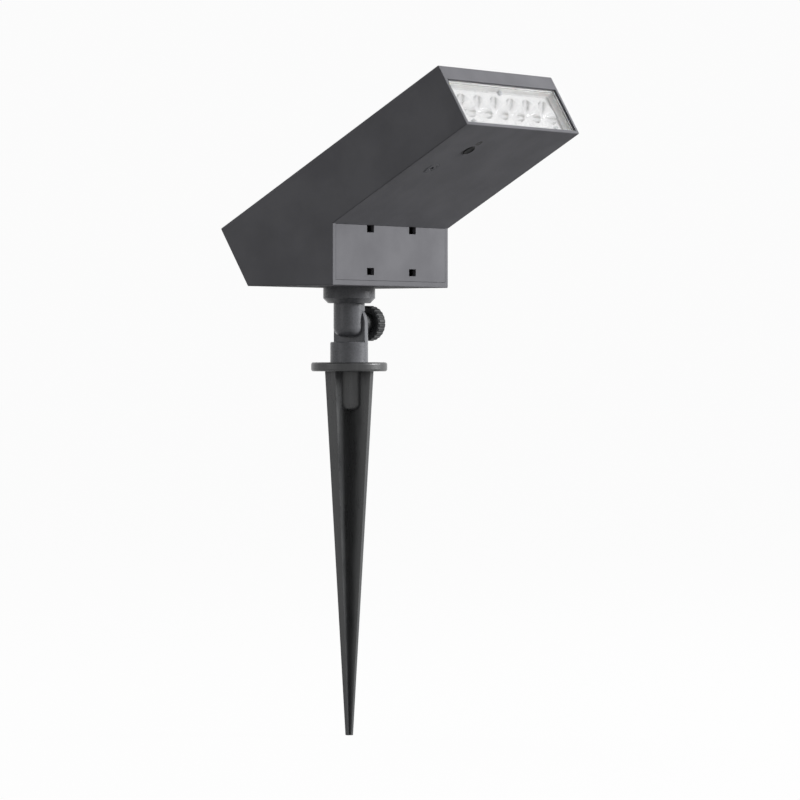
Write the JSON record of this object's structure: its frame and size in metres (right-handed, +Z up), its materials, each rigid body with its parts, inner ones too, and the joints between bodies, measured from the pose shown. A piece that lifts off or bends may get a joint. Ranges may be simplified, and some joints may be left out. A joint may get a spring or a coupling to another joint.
{
  "type": "garden spike spotlight",
  "caption": "Solar garden spotlight: a sloping bar head with a lamp window at its end, a tilting knuckle with a thumb knob, and a ribbed ground spike under a round flange.",
  "frame": {"origin": "on the spike's axis at the underside of its round flange, which is the soil line", "axes": "+Z up along the spike, +X forwards to the lit end of the bar, +Y towards the clamp knob"},
  "size_m": [0.1945, 0.134, 0.4364],
  "materials": {
    "housing_plastic": "anthracite, fine moulded texture, satin",
    "knuckle_paint": "anthracite powder coat on die-cast aluminium, satin",
    "spike_plastic": "black moulded, satin",
    "steel": "zinc plated",
    "brass": "turned",
    "seal_rubber": "matt",
    "button_rubber": "matt",
    "panel_glass": "clear, polished",
    "silicon": "dark blue, satin, with fine silver lines",
    "white_plastic": "white film",
    "clear_lens": "clear, polished",
    "white_silicone": "translucent white",
    "reflector_coat": "metallised plastic, bright",
    "board_aluminium": "plain sheet",
    "led_phosphor": "yellow phosphor",
    "inner_plastic": "black moulded",
    "battery_wrap": "shrink wrap",
    "board_laminate": "green solder mask"
  },
  "bodies": {
    "spike": {"ground_spike": "spike_plastic", "knuckle_base": "knuckle_paint", "socket_screw": "steel", "clamp_washer": "steel"},
    "knuckle": {"knuckle_stem": "knuckle_paint", "thread_insert": "brass", "swivel_seal": "seal_rubber", "swivel_washer": "steel", "stem_locknut": "steel"},
    "knob": {"clamp_knob": "spike_plastic", "clamp_screw": "steel"},
    "head": {"housing": "housing_plastic", "panel_glass": "panel_glass", "solar_cells": "silicon", "panel_backsheet": "white_plastic", "panel_seal": "seal_rubber", "lens": "clear_lens", "lens_gasket": "white_silicone", "reflector": "reflector_coat", "lamp_screws": "steel", "led_board": "board_aluminium", "leds": "led_phosphor", "heat_plate": "board_aluminium", "battery_tray": "inner_plastic", "battery_cells": "battery_wrap", "control_board": "board_laminate", "board_screws": "steel", "tact_switch": "inner_plastic", "indicator_window": "clear_lens", "breather_plug": "spike_plastic", "foot_cover": "housing_plastic"},
    "button": {"push_button": "button_rubber"}
  },
  "joints": [
    {"name": "head_tilt", "type": "hinge", "parent": "spike", "child": "knuckle", "pos_m": [0, 0, 0.032], "axis": [0, 1, 0], "range_deg": [-50, 50]},
    {"name": "head_swivel", "type": "hinge", "parent": "knuckle", "child": "head", "pos_m": [0, 0, 0.056], "axis": [0, 0, 1], "continuous": true},
    {"name": "knob_turn", "type": "hinge", "parent": "spike", "child": "knob", "pos_m": [0, 0.018, 0.032], "axis": [0, 1, 0], "continuous": true},
    {"name": "button_press", "type": "slide", "parent": "head", "child": "button", "axis": [-0.503, 0, 0.8643], "range_m": [0, 0.0007], "stiffness_N_per_m": 1500, "springref_m": -0.0004}
  ]
}
